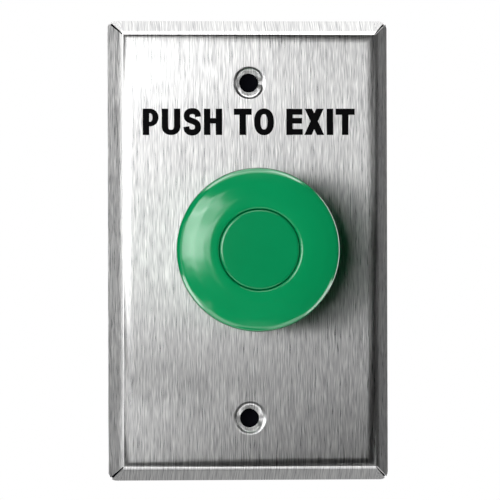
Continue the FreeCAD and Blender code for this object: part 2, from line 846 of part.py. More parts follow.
def block_housing():
    """The moulded case of a contact block, built for the block at +X. Its open
    side faces +X and is closed by the cover."""
    case = block(
        (block_inner_x, cover_inner_x), (block_back, block_front), (-block_half, block_half)
    )
    barb_back, barb_front = hook_barb_range()
    half = HOOK_WIDTH / 2
    hook_side = (block_x - half, block_x + half)
    leg_inner = block_half - HOOK_THICKNESS
    leg = block(hook_side, (block_front - OVERCUT, barb_front), (leg_inner, block_half))
    barb = block(
        hook_side,
        (barb_back, barb_front),
        (leg_inner - HOOK_CLEARANCE - HOOK_BARB + FIT, leg_inner + HOOK_ROOT),
    )
    case = case.fuse(list(both_ends(leg)) + list(both_ends(barb)))
    chamber = block(
        (block_inner_x + BLOCK_WALL, cover_inner_x + OVERCUT),
        (chamber_back, chamber_front),
        (-chamber_half, chamber_half),
    )
    post_hole = cylinder(
        POST_RADIUS + FIT, chamber_front - OVERCUT, block_front + OVERCUT, x=post_x
    )
    bay = block(
        (block_x - bay_half_width, block_x + bay_half_width),
        (block_back - OVERCUT, terminal_level),
        (bay_inner, block_half + OVERCUT),
    )
    strip_half = STRIP_HALF_WIDTH + FIT
    slot = block(
        (block_x - strip_half, block_x + strip_half),
        (strip_back - FIT, terminal_level),
        (chamber_half - OVERCUT, bay_inner + OVERCUT),
    )
    screw_end = strip_back + STRIP_THICKNESS + TERMINAL_SCREW_DEPTH + FIT
    screw_hole = cylinder(
        TERMINAL_SCREW_RADIUS + 2 * THREAD_CLEARANCE,
        terminal_level - OVERCUT,
        screw_end,
        x=block_x,
        z=terminal_z,
    )
    peg_hole = Part.makeCylinder(
        PEG_RADIUS + THREAD_CLEARANCE,
        PEG_LENGTH + FIT + OVERCUT,
        Vector(cover_inner_x + OVERCUT, -peg_depth(), peg_z()),
        Vector(-1, 0, 0),
    )
    cuts = [chamber, post_hole]
    for tool in (bay, slot, screw_hole, peg_hole):
        cuts += list(both_ends(tool))
    return case.cut(cuts).removeSplitter()


def peg_depth():
    """The depth of the cover's pegs, in the solid front part of the case."""
    return (block_front + terminal_level) / 2


def peg_z():
    return (chamber_half + block_half) / 2


def block_cover():
    """The flat side cover of a contact block, with two pegs that snap in."""
    outer_x = cover_inner_x + COVER_THICKNESS
    sheet = block(
        (cover_inner_x, outer_x), (block_back, block_front), (-block_half, block_half)
    )
    peg = Part.makeCylinder(
        PEG_RADIUS,
        PEG_LENGTH + COVER_THICKNESS / 2,
        Vector(cover_inner_x + COVER_THICKNESS / 2, -peg_depth(), peg_z()),
        Vector(-1, 0, 0),
    )
    return sheet.fuse(list(both_ends(peg))).removeSplitter().cut(cover_recess(outer_x))


def cover_recess(outer_x):
    """The shallow field sunk in the cover's outer face. It leaves a row of ribs
    to grip near the back."""
    back = block_back + COVER_BORDER
    front = block_front - COVER_BORDER
    high = block_half - COVER_BORDER
    corners = [
        (front, high, COVER_RECESS_RADIUS),
        (back, high, COVER_RECESS_RADIUS),
        (back, -high, COVER_RECESS_RADIUS),
        (front, -high, COVER_RECESS_RADIUS),
    ]
    floor_x = outer_x - COVER_RECESS
    wire = outline(corners, lambda f, z: Vector(floor_x, -f, z))
    field = Part.Face(wire).extrude(Vector(COVER_RECESS + OVERCUT, 0, 0))
    ribs = []
    for i in range(GRIP_RIBS):
        rib_back = back + COVER_BORDER + i * GRIP_RIB_PITCH
        ribs.append(
            block(
                (floor_x - OVERCUT, outer_x + 2 * OVERCUT),
                (rib_back, rib_back + GRIP_RIB_WIDTH),
                (-GRIP_RIB_HALF_LENGTH, GRIP_RIB_HALF_LENGTH),
            )
        )
    return field.cut(ribs)


def actuator(window_front, window_back):
    """The sliding post of a block. Its window lets the bridge pass along Z."""
    end = window_back - ACTUATOR_WEB
    half_width = BRIDGE_HALF_WIDTH + ACTUATOR_SIDE
    body = block(
        (post_x - half_width, post_x + half_width),
        (end, actuator_front),
        (-ACTUATOR_HALF_HEIGHT, ACTUATOR_HALF_HEIGHT),
    )
    root = actuator_front - POST_ROOT
    post = turned(
        [(0, root), (POST_RADIUS, root), (POST_RADIUS, post_tip, POST_ROUNDING), (0, post_tip)],
        x=post_x,
    )
    window_half = BRIDGE_HALF_WIDTH + FIT
    window = block(
        (post_x - window_half, post_x + window_half),
        (window_back, window_front),
        (-ACTUATOR_HALF_HEIGHT - OVERCUT, ACTUATOR_HALF_HEIGHT + OVERCUT),
    )
    return body.fuse(post).removeSplitter().cut(window)


def contact_bridge(front, pads_forward):
    """The bar that joins the two fixed contacts, with a pad near each end."""
    back = front - BRIDGE_THICKNESS
    bar = block(
        (post_x - BRIDGE_HALF_WIDTH, post_x + BRIDGE_HALF_WIDTH),
        (back, front),
        (-bridge_half, bridge_half),
    )
    if pads_forward:
        pad_range = (front - PAD_ROOT, front + PAD_HEIGHT)
    else:
        pad_range = (back - PAD_HEIGHT, back + PAD_ROOT)
    pad = cylinder(PAD_RADIUS, *pad_range, x=post_x, z=pad_height_z)
    return bar.fuse(list(both_ends(pad))).removeSplitter()


def terminal_strip(contact_front, pad_forward):
    """A fixed contact, upper one. It lies on the floor of the terminal bay and
    reaches the contact level, with a riser where the two levels differ."""
    contact_back = contact_front - STRIP_THICKNESS
    if contact_front == terminal_level:
        corners = [
            (strip_inner, contact_front),
            (strip_outer, contact_front),
            (strip_outer, contact_back),
            (strip_inner, contact_back),
        ]
    else:
        corners = [
            (strip_inner, contact_front),
            (riser_outer, contact_front, STRIP_THICKNESS),
            (riser_outer, terminal_level),
            (strip_outer, terminal_level),
            (strip_outer, strip_back),
            (riser_inner, strip_back, STRIP_THICKNESS),
            (riser_inner, contact_back),
            (strip_inner, contact_back),
        ]
    left = block_x - STRIP_HALF_WIDTH
    wire = outline(corners, lambda z, f: Vector(left, -f, z))
    strip = Part.Face(wire).extrude(Vector(2 * STRIP_HALF_WIDTH, 0, 0))
    if pad_forward:
        pad_range = (contact_front - PAD_ROOT, contact_front + PAD_HEIGHT)
    else:
        pad_range = (contact_back - PAD_HEIGHT, contact_back + PAD_ROOT)
    pad = cylinder(PAD_RADIUS, *pad_range, x=post_x, z=pad_height_z)
    hole = cylinder(
        TERMINAL_SCREW_RADIUS + THREAD_CLEARANCE,
        strip_back - OVERCUT,
        terminal_level + OVERCUT,
        x=block_x,
        z=terminal_z,
    )
    return strip.fuse(pad).removeSplitter().cut(hole)


def terminal_clamp():
    """The square washer that grips a wire under the screw's head, upper one."""
    square = block(
        (block_x - clamp_half, block_x + clamp_half),
        (clamp_back, clamp_front),
        (terminal_z - clamp_half, terminal_z + clamp_half),
    )
    hole = cylinder(
        TERMINAL_SCREW_RADIUS + FIT,
        clamp_back - OVERCUT,
        clamp_front + OVERCUT,
        x=block_x,
        z=terminal_z,
    )
    return square.cut(hole)


def terminal_screw():
    tip = terminal_level + TERMINAL_SCREW_DEPTH
    cap_radius = clamp_half - FIT
    body = turned(
        [
            (0, terminal_cap_back),
            (cap_radius, terminal_cap_back, TERMINAL_CAP_ROUNDING),
            (cap_radius, clamp_back),
            (TERMINAL_SCREW_RADIUS, clamp_back),
            (TERMINAL_SCREW_RADIUS, tip - SCREW_POINT),
            (TERMINAL_SCREW_RADIUS - SCREW_POINT, tip),
            (0, tip),
        ],
        x=block_x,
        z=terminal_z,
    )
    reach = cap_radius * CROSS_REACH_SHARE
    depth = TERMINAL_CAP_HEIGHT * CROSS_DEPTH_SHARE
    return body.cut(cross_recess(terminal_cap_back, 1, reach, depth, block_x, terminal_z))


def contact_block(kind):
    """The pieces of one contact block, at +X. kind is no or nc: in the open
    block the bridge is in front of the fixed contacts, in the closed block it
    is behind them."""
    if kind == "no":
        window = (no_window_front, no_bridge_back)
        bridge = contact_bridge(no_bridge_front, False)
        strip = terminal_strip(terminal_level, True)
        spring_range = (no_bridge_front, no_window_front)
    else:
        window = (nc_bridge_front, nc_window_back)
        bridge = contact_bridge(nc_bridge_front, True)
        strip = terminal_strip(nc_strip_front, False)
        spring_range = (nc_window_back, nc_bridge_back)
    contact_spring = coil(
        SMALL_WIRE, SMALL_COIL_RADIUS, CONTACT_TURNS, *spring_range, x=post_x, steps=10, sides=4
    )
    actuator_end = window[1] - ACTUATOR_WEB
    return_spring = coil(
        SMALL_WIRE,
        SMALL_COIL_RADIUS,
        BLOCK_RETURN_TURNS,
        chamber_back,
        actuator_end,
        x=post_x,
        steps=10,
        sides=4,
    )
    upper_strip, lower_strip = both_ends(strip)
    return {
        "housing": block_housing(),
        "cover": block_cover(),
        "actuator": actuator(*window),
        "bridge": bridge,
        "contact_spring": contact_spring,
        "return_spring": return_spring,
        "strip_upper": upper_strip,
        "strip_lower": lower_strip,
        "clamps": Part.makeCompound(list(both_ends(terminal_clamp()))),
        "screws": Part.makeCompound(list(both_ends(terminal_screw()))),
    }


def all_pieces():
    pieces = {
        "wall_plate": wall_plate(),
        "panel_gasket": panel_gasket(),
        "operator_housing": operator_housing(),
        "seal_ring": seal_ring(),
        "bezel_ring": bezel_ring(),
        "lock_washer": lock_washer(),
        "lock_nut": lock_nut(),
        "mushroom_head": mushroom_head(),
        "centre_disc": centre_disc(),
        "head_screw": head_screw(),
        "plunger": plunger(),
        "pusher_foot": pusher_foot(),
        "foot_screw": foot_screw(),
        "return_spring": coil(
            RETURN_WIRE, return_coil_radius, RETURN_TURNS, ledge_front, piston_back
        ),
        "contact_carrier": contact_carrier(),
        "clamp_screws": clamp_screws(),
    }
    for kind in ("no", "nc"):
        for name, shape in contact_block(kind).items():
            if kind == "nc":
                shape = shape.mirror(ORIGIN, Vector(1, 0, 0))
            pieces[f"{kind}_{name}"] = shape
    return pieces


def main():
    os.makedirs("parts", exist_ok=True)
    for name, shape in all_pieces().items():
        if not shape.isValid():
            print("not valid:", name)
        shape.exportStep(f"parts/{name}.step")
        print(f"{name:22s} solids {len(shape.Solids)} volume {shape.Volume:9.2f}")


main()
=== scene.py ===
import json
import math

import bmesh
import bpy
import numpy as np
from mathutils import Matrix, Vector

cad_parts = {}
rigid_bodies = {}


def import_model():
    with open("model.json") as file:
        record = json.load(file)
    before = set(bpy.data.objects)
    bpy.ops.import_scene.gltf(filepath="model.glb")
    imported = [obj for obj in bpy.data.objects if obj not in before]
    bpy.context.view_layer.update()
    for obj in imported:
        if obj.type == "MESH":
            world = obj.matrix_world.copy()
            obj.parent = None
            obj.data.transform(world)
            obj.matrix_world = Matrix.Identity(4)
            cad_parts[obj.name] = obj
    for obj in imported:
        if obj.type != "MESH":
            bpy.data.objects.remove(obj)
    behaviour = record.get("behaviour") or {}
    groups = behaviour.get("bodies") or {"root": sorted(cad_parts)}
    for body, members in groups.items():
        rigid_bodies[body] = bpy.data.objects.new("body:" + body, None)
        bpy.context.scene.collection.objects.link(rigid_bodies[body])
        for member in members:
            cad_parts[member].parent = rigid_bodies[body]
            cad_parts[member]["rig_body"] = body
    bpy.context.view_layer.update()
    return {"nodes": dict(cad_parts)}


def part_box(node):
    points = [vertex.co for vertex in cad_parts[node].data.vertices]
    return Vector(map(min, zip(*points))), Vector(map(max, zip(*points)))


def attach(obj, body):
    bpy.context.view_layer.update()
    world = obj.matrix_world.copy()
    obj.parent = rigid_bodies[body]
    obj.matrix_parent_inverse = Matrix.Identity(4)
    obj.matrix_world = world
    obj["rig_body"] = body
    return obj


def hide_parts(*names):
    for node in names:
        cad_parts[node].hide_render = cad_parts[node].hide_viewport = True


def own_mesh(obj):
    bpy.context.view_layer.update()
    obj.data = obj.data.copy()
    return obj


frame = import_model()


# Wall plate
# One sheet of stainless steel, brushed from top to bottom while flat, then
# folded back along its four sides and dished round its two screw holes.

MM = 0.001
SIDE_START = 31.8 * MM
SIDE_BLEND = 0.6 * MM
STROKE_WANDER = 0.5 * MM


class Signal:
    """A socket of a material's nodes. Arithmetic on it adds Math nodes, and
    node() adds any other node."""

    def __init__(self, tree, socket=None):
        self.tree = tree
        self.socket = socket

    def node(self, kind, settings=None, inputs=None, output=0):
        """Adds a node. Its settings come first, then the values or links of its
        sockets, by their names or numbers."""
        made = self.tree.nodes.new(kind)
        for name, value in (settings or {}).items():
            setattr(made, name, value)
        for name, value in (inputs or {}).items():
            if isinstance(value, Signal):
                self.tree.links.new(value.socket, made.inputs[name])
            else:
                made.inputs[name].default_value = value
        return Signal(self.tree, made.outputs[output])

    def math(self, operation, *values):
        """What a Math node makes of the values."""
        return self.node("ShaderNodeMath", {"operation": operation}, dict(enumerate(values)))

    def __add__(self, other):
        return self.math("ADD", self, other)

    __radd__ = __add__

    def __rsub__(self, other):
        return self.math("SUBTRACT", other, self)

    def __mul__(self, other):
        return self.math("MULTIPLY", self, other)

    __rmul__ = __mul__

    def __pow__(self, other):
        return self.math("POWER", self, other)

    def __abs__(self):
        return self.math("ABSOLUTE", self)

    def sine(self):
        """The sine of an angle in radians."""
        return self.math("SINE", self)

    def greater(self, other):
        """The greater of two values."""
        return self.math("MAXIMUM", self, other)

    def spread(self, low, high):
        """0 up to low, 1 from high on, and even between."""
        inputs = {"Value": self, "From Min": low, "From Max": high}
        return self.node("ShaderNodeMapRange", None, inputs)

    def below(self, limit, soft):
        """1 under the limit and 0 over it, with a soft step between."""
        inputs = {
            "Value": self, "From Min": limit - soft, "From Max": limit + soft,
            "To Min": 1.0, "To Max": 0.0,
        }
        return self.node("ShaderNodeMapRange", {"interpolation_type": "SMOOTHSTEP"}, inputs)

    def part(self, index):
        """One of the three numbers of a vector."""
        return self.node("ShaderNodeSeparateXYZ", None, {"Vector": self}, index)

    def stretched(self, scale):
        """The coordinates multiplied by scale, so a larger number is a finer pattern."""
        return self.node("ShaderNodeMapping", None, {"Vector": self, "Scale": scale})

    def noise(self, scale=1.0, detail=2.0):
        """Soft noise from 0 to 1 over these coordinates."""
        inputs = {"Vector": self, "Scale": scale, "Detail": detail}
        return self.node("ShaderNodeTexNoise", None, inputs)

    def mixed(self, one, other):
        """The colour one where this is 0, and other where it is 1. A Mix node has
        its colours on sockets 6 and 7, and the mixed colour on output 2."""
        inputs = {"Factor": self, 6: one, 7: other}
        return self.node("ShaderNodeMix", {"data_type": "RGBA"}, inputs, 2)


def colour(red, green, blue):
    """A colour written as it shows on a screen, 0 to 255, as linear values by
    the sRGB curve."""
    shown = np.array([red, green, blue]) / 255
    linear = np.where(shown <= 0.04045, shown / 12.92, ((shown + 0.055) / 1.055) ** 2.4)
    return (*linear.tolist(), 1.0)


def shaded(name, build):
    """A material. build takes a Signal that adds nodes, and gives the shader of
    the surface."""
    material = bpy.data.materials.new(name)
    material.use_nodes = True
    tree = material.node_tree
    tree.nodes.clear()
    surface = tree.nodes.new("ShaderNodeOutputMaterial").inputs["Surface"]
    tree.links.new(build(Signal(tree)).socket, surface)
    return material


def coated(name, look):
    """A material with one Principled shader. look takes the object's coordinates,
    in metres, and gives the values or links of the shader's sockets."""
    def principled(start):
        place = start.node("ShaderNodeTexCoord", None, None, "Object")
        return start.node("ShaderNodeBsdfPrincipled", None, look(place))
    return shaded(name, principled)


def bumped(height, depth):
    """A normal that follows a height from 0 to 1, which stands for depth in metres."""
    return height.node("ShaderNodeBump", None, {"Height": height, "Distance": depth, "Strength": 1.0})


def piece(name, mesh, material, body, stands_for=(), crease=30.0):
    """A mesh that rides on a CAD body, with smooth faces apart from the edges
    that turn by more than crease degrees."""
    mesh.materials.clear()
    mesh.materials.append(material)
    mesh.shade_smooth()
    mesh.set_sharp_from_angle(angle=math.radians(crease))
    made = bpy.data.objects.new(name, mesh)
    bpy.context.scene.collection.objects.link(made)
    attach(made, body)
    if stands_for:
        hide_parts(*stands_for)
    return made


def joined(name, source, flatten=False):
    """A mesh from another mesh, or from a list of vertices and one of faces. The
    points that coincide are joined and the faces look outwards. flatten also
    joins the triangles that lie in one plane."""
    work = bmesh.new()
    mesh = bpy.data.meshes.new(name)
    if isinstance(source, tuple):
        mesh.from_pydata(np.asarray(source[0]).tolist(), [], [tuple(face) for face in source[1]])
        work.from_mesh(mesh)
    else:
        work.from_mesh(source)
    bmesh.ops.remove_doubles(work, verts=work.verts, dist=1e-7)
    bmesh.ops.dissolve_degenerate(work, edges=work.edges, dist=1e-8)
    bmesh.ops.recalc_face_normals(work, faces=work.faces)
    if flatten:
        level = math.radians(0.5)
        bmesh.ops.dissolve_limit(work, angle_limit=level, verts=work.verts, edges=work.edges)
    work.to_mesh(mesh)
    work.free()
    return mesh


def dressed(node, material, crease=25.0, edge=0.0):
    """A copy of a CAD node. Its edges stay sharp where they turn by more than
    crease degrees, or get a small bevel of edge metres. The other normals lean
    towards the larger faces."""
    source = frame["nodes"][node]
    mesh = joined(node + "_look", source.data, flatten=edge > 0)
    sharp = 60.0 if edge else crease
    made = piece(node + "_look", mesh, material, source["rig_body"], (node,), sharp)
    if edge:
        bevel = made.modifiers.new("edges", "BEVEL")
        bevel.width = edge
        bevel.segments = 2
        bevel.angle_limit = math.radians(crease)
    weighted = made.modifiers.new("normals", "WEIGHTED_NORMAL")
    weighted.keep_sharp = True
    return made


def brushed_steel(place):
    """Fine strokes along Z that wander a little. Depth only counts on the two
    upright sides, where it runs across the strokes, so that they carry on over
    the top and bottom bends."""
    across = place.part(0)
    upright = 1.0 - abs(across).below(SIDE_START, SIDE_BLEND)
    wander = STROKE_WANDER * place.stretched((500, 0, 260)).noise(detail=1.0)
    bent = place.node("ShaderNodeCombineXYZ", None, {
        "X": across + wander, "Y": place.part(1) * upright, "Z": place.part(2),
    })
    hairlines = bent.stretched((5400, 5400, 260)).noise(detail=1.0)
    strokes = bent.stretched((3400, 3400, 70)).noise(detail=1.0)
    drift = bent.stretched((60, 60, 8)).noise(detail=1.0)
    tone = (0.55 * hairlines + 0.4 * strokes + 0.05 * drift).spread(0.36, 0.64)
    return {
        "Base Color": tone.mixed(colour(180, 180, 182), colour(255, 255, 253)),
        "Metallic": 1.0,
        "Roughness": 0.272 + 0.1 * tone,
        "Anisotropic": 0.98,
        "Normal": bumped(hairlines * 0.5 + strokes * 0.5, 0.02 * MM),
    }


plate_steel = coated("plate_brushed_steel", brushed_steel)
plate = dressed("wall_plate", plate_steel)

# The steel spreads its shine across its strokes, in circles round an upright
# line through the middle of the mesh's texture space. A very wide space that
# lies behind the plate keeps them level over the whole face and its bends.
plate.data.use_auto_texspace = False
plate.data.texspace_location = (0.0, 0.05, 0.0)
plate.data.texspace_size = (10.0, 0.01, 0.1)


# Legend
# The button's use in bold narrow capitals, screen printed in black ink on the
# plate above the head. Each letter is made of a few overlapping strokes.

LEGEND_LEFT = -26.6 * MM
LEGEND_FOOT = 28.66 * MM
CAP_HEIGHT = 6.55 * MM
STEM = 1.62 * MM
ARM = 1.54 * MM
WAIST = 0.54 * CAP_HEIGHT
INK_THICKNESS = 0.03 * MM
INK_OVERLAP = 0.002 * MM

# Each letter's left and right side in millimetres from the legend's left end.
LETTERS = (
    ("P", 0.0, 3.98), ("U", 4.74, 9.40), ("S", 10.20, 14.48), ("H", 15.23, 19.80),
    ("T", 22.70, 27.18), ("O", 27.78, 32.72),
    ("E", 35.80, 39.92), ("X", 40.26, 45.30), ("I", 45.90, 47.54), ("T", 48.14, 52.92),
)

# The middle line of the S, as shares of the letter's width and height.
S_BENDS = np.array([
    (0.835, 0.69), (0.81, 0.80), (0.68, 0.885), (0.49, 0.905), (0.31, 0.88), (0.20, 0.80),
    (0.185, 0.69), (0.25, 0.61), (0.40, 0.555), (0.60, 0.505), (0.76, 0.44), (0.825, 0.34),
    (0.81, 0.21), (0.68, 0.12), (0.49, 0.095), (0.31, 0.12), (0.19, 0.20), (0.155, 0.32),
])
plate_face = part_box("wall_plate")[0].y


def stroke(path, width, closed=False):
    """The left and right edges of a bar carried along a path, with one width or
    one for each point. Each point moves sideways along the bisector of the two
    stretches beside it, far enough to keep the bar's width there."""
    path = np.array(path, float)
    ahead = np.roll(path, -1, axis=0) - path
    behind = path - np.roll(path, 1, axis=0)
    if not closed:
        ahead[-1] = behind[-1]
        behind[0] = ahead[0]
    ahead /= np.linalg.norm(ahead, axis=1)[:, None]
    behind /= np.linalg.norm(behind, axis=1)[:, None]
    side = np.stack([-(ahead + behind)[:, 1], (ahead + behind)[:, 0]], axis=1)
    side /= np.linalg.norm(side, axis=1)[:, None]
    mitre = np.einsum("ij,ij->i", side, np.stack([-ahead[:, 1], ahead[:, 0]], axis=1))
    reach = side * (np.broadcast_to(width, len(path)) / 2 / mitre)[:, None]
    return path + reach, path - reach, closed


def bar(x0, z0, x1, z1, width):
    """A straight stroke from one point to another."""
    return stroke([(x0, z0), (x1, z1)], width)


def slanted(x0, x1, width):
    """A diagonal from the foot at x0 to the top at x1, cut off level at both ends."""
    ends = np.array([(x0, 0.0), (x1, CAP_HEIGHT)])
    return ends - (width / 2, 0.0), ends + (width / 2, 0.0), False


def oval(centre, radii, degrees, power):
    """Points on a rounded oblong about centre, at these angles: each of its two
    coordinates is the radius times the cosine or sine to the power 2 / power,
    with its sign kept."""
    angle = np.radians(degrees)
    unit = np.stack([np.cos(angle), np.sin(angle)], 1)
    return np.array(centre) + np.array(radii) * np.sign(unit) * np.abs(unit) ** (2 / power)


def curve(points, steps=6):
    """A smooth line through the points: between two of them it is the cubic that
    leaves each along the line from its last neighbour to its next."""
    ends = np.vstack([2 * points[0] - points[1], points, 2 * points[-1] - points[-2]])
    share = np.arange(steps)[:, None] / steps
    weights = [
        -share + 2 * share ** 2 - share ** 3,
        2 - 5 * share ** 2 + 3 * share ** 3,
        share + 4 * share ** 2 - 3 * share ** 3,
        share ** 3 - share ** 2,
    ]
    spans = [
        sum(weight * ends[first + k] for k, weight in enumerate(weights)) / 2
        for first in range(len(points) - 1)
    ]
    return np.vstack([*spans, points[-1:]])


def letter_strokes(letter, wide):
    """The strokes of a capital of width wide, from its lower left corner. A round
    letter's stroke is a stem's width at the sides and thins at top and bottom."""
    top = CAP_HEIGHT
    left = STEM / 2
    right = wide - STEM / 2
    middle = wide / 2
    high = top - ARM / 2
    low = ARM / 2
    if letter == "I":
        return [bar(middle, 0, middle, top, STEM)]
    if letter == "T":
        return [bar(0, high, wide, high, ARM), bar(middle, 0, middle, top, STEM)]
    if letter == "H":
        return [
            bar(left, 0, left, top, STEM),
            bar(right, 0, right, top, STEM),
            bar(left, WAIST, right, WAIST, ARM * 0.88),
        ]
    if letter == "E":
        return [
            bar(left, 0, left, top, STEM),
            bar(left, high, wide * 0.98, high, ARM * 0.95),
            bar(left, WAIST, wide * 0.96, WAIST, ARM * 0.92),
            bar(left, low, wide, low, ARM * 0.95),
        ]
    if letter == "X":
        foot = STEM * 0.58
        head = STEM * 0.66
        return [slanted(foot, wide - head, STEM * 1.14), slanted(wide - foot, head, STEM * 1.14)]
    if letter == "U":
        deep = top * 0.34
        degrees = np.linspace(180, 360, 29)
        bowl = oval((middle, deep), (middle - left, deep - low * 0.85), degrees, 2.3)
        thick = STEM - (STEM - ARM * 0.85) * np.sin(np.radians(degrees)) ** 2
        line = np.vstack([[(left, top)], bowl, [(right, top)]])
        return [stroke(line, np.array([STEM, *thick, STEM]))]
    if letter == "O":
        degrees = np.linspace(0, 360, 61)[:-1]
        ring = oval((middle, top / 2), (middle - left, top / 2 - low * 0.88), degrees, 2.35)
        thick = STEM - (STEM - ARM * 0.95) * np.sin(np.radians(degrees)) ** 2
        return [stroke(ring, thick, True)]
    if letter == "P":
        foot = top * 0.415
        thin = ARM * 0.76
        rise = (top - thin / 2 - foot) / 2
        reach = right - rise * 0.85
        degrees = np.linspace(90, -90, 25)
        bowl = oval((reach, foot + rise), (right - reach, rise), degrees, 2.1)
        thick = thin + (STEM * 0.95 - thin) * np.cos(np.radians(degrees)) ** 2
        line = np.vstack([[(left, foot + 2 * rise)], bowl, [(left, foot)]])
        return [bar(left, 0, left, top, STEM), stroke(line, np.array([thin, *thick, thin]))]
    return [stroke(curve(S_BENDS * (wide, top)), ARM * 0.98)]


def grid_faces(rows, columns, close_rows=True):
    """The quads of a grid of points whose last column joins its first, and whose
    last row joins its first too where close_rows is set."""
    used = rows if close_rows else rows - 1
    row, column = np.meshgrid(np.arange(used), np.arange(columns), indexing="ij")
    below, beside = (row + 1) % rows, (column + 1) % columns
    corners = [
        row * columns + column, row * columns + beside,
        below * columns + beside, below * columns + column,
    ]
    return np.stack(corners, -1).reshape(-1, 4).tolist()


def legend_mesh(letters):
    """Every stroke is a bar with four corners all along it: its two edges on the
    plate's face, and the same two in front of it by the ink's thickness."""
    points, faces = [], []
    for letter, start, end in letters:
        for layer, (left, right, closed) in enumerate(letter_strokes(letter, (end - start) * MM)):
            front = plate_face - (INK_THICKNESS + layer * INK_OVERLAP)
            edges = np.stack([left, right, right, left], 1)
            across = LEGEND_LEFT + start * MM + edges[..., 0]
            depth = np.broadcast_to([plate_face, plate_face, front, front], across.shape)
            corners = np.stack([across, depth, LEGEND_FOOT + edges[..., 1]], -1)
            quads = grid_faces(len(left), 4, closed)
            if not closed:
                last = 4 * len(left) - 4
                quads += [[0, 3, 2, 1], [last, last + 1, last + 2, last + 3]]
            faces += (len(points) + np.array(quads)).tolist()
            points += corners.reshape(-1, 3).tolist()
    return points, faces


def printed_ink(place):
    """A satin black with the faint mottle of a screen print."""
    mottle = place.noise(scale=2200.0, detail=2.0)
    return {
        "Base Color": mottle.mixed(colour(3, 3, 4), colour(12, 12, 13)),
        "Roughness": 0.5 + 0.2 * mottle,
        "Specular IOR Level": 0.04,
        "Normal": bumped(place.stretched((3000, 3000, 300)).noise(detail=1.0), 0.004 * MM),
    }


legend_points, legend_faces = legend_mesh(LETTERS)
legend = bpy.data.meshes.new("legend_ink")
legend.from_pydata(legend_points, [], legend_faces)
piece("legend_ink", legend, coated("legend_black_ink", printed_ink), "frame")


# Gasket and seal
# Two black rubber rings, moulded: a flat one between the flange and the plate,
# and a wiper with a thin lip round the neck of the head.

def black_rubber(place):
    """A matte black with a pale bloom."""
    bloom = place.noise(scale=700.0, detail=3.0)
    return {
        "Base Color": bloom.mixed(colour(22, 22, 23), colour(38, 38, 39)),
        "Roughness": 0.62 + 0.2 * bloom,
        "Normal": bumped(place.noise(scale=2600.0, detail=2.0), 0.01 * MM),
    }


rubber = coated("black_rubber", black_rubber)
for node in ("panel_gasket", "seal_ring"):
    dressed(node, rubber)


# Operator housing, lock washer and lock nut
# A black moulded barrel with a flange and a long thread. It goes through the
# plate from the front, and a toothed steel washer and a nut hold it from behind.

# The barrel's sizes in millimetres. Depths count forward from the wall's face.
BARREL_RADIUS = 11.0
BARREL_END = -14.0
BORE_RADIUS = 9.4
LEDGE_RADIUS = 4.7
LEDGE_FRONT = -4.5
LEDGE_BACK = -7.0
FLANGE_RADIUS = 13.6
FLANGE_FRONT = 9.0
FLANGE_BACK = 5.7
THREAD_BACK = -13.5
THREAD_FRONT = 2.9
THREAD_PITCH = 1.5
THREAD_DEPTH = 0.85
THREAD_ROWS = 165


def rounded(corners, fineness=8):
    """A closed outline of (radius, depth), from corners in millimetres. A corner
    with a third number becomes points on the arc of that radius that touches
    both of its sides, or on a smaller arc where a side is too short for it."""
    table = np.array([(*corner, 0.0)[:3] for corner in corners], float)
    here, wanted = table[:, :2], table[:, 2]
    back = np.roll(here, 1, 0) - here
    ahead = np.roll(here, -1, 0) - here
    lengths = np.linalg.norm(back, axis=1), np.linalg.norm(ahead, axis=1)
    back /= lengths[0][:, None]
    ahead /= lengths[1][:, None]
    half = np.arccos(np.clip((back * ahead).sum(1), -1, 1)) / 2
    reach = np.minimum(wanted / np.tan(half), 0.49 * np.minimum(*lengths))
    radius = reach * np.tan(half)
    inward = back + ahead
    inward /= np.linalg.norm(inward, axis=1)[:, None] + 1e-12
    centre = here + inward * (radius / np.sin(half))[:, None]
    start = here + back * reach[:, None] - centre
    end = here + ahead * reach[:, None] - centre
    first = np.arctan2(start[:, 1], start[:, 0])
    turn = (np.arctan2(end[:, 1], end[:, 0]) - first + math.pi) % (2 * math.pi) - math.pi
    angle = first[:, None] + turn[:, None] * np.linspace(0, 1, fineness + 1)
    arcs = centre[:, None] + radius[:, None, None] * np.stack([np.cos(angle), np.sin(angle)], -1)
    return np.vstack([arcs[i] if wanted[i] else here[i:i + 1] for i in range(len(here))]) * MM


def turned(outline, segments, cut=None):
    """The outline turned round the Y axis: at angle a its point is (radius cos a,
    -depth, radius sin a). cut(radius, depth, a) is taken off the radius."""
    angle = np.linspace(0, 2 * math.pi, segments, endpoint=False)
    radius = np.repeat(outline[:, :1], segments, axis=1)
    depth = np.repeat(outline[:, 1:], segments, axis=1)
    if cut:
        radius = radius - cut(radius, depth, angle)
    points = np.stack([radius * np.cos(angle), -depth, radius * np.sin(angle)], -1)
    return points.reshape(-1, 3), grid_faces(*radius.shape)


def thread(radius, depth, angle):
    """What the thread takes off the barrel: a wave with flat tops and bottoms
    that climbs one pitch a turn, and fades over a pitch at both ends."""
    radius, depth = radius / MM, depth / MM
    wave = np.abs(2 * ((depth / THREAD_PITCH + angle / (2 * math.pi)) % 1) - 1)
    fade = np.clip(np.minimum(depth - THREAD_BACK, THREAD_FRONT - depth) / THREAD_PITCH, 0, 1)
    on_barrel = np.abs(radius - BARREL_RADIUS) < 0.001
    return THREAD_DEPTH * MM * np.clip(1.5 * wave - 0.25, 0, 1) * fade * on_barrel


def moulded(dark, light, grain, rough):
    """A matte plastic with the fine grain of a spark-eroded mould."""
    def look(place):
        speckle = place.noise(scale=grain, detail=3.0)
        cloud = place.noise(scale=90.0, detail=2.0)
        return {
            "Base Color": (0.5 * speckle + 0.5 * cloud).mixed(dark, light),
            "Roughness": rough + 0.18 * cloud,
            "Normal": bumped(speckle, 0.02 * MM),
        }
    return look


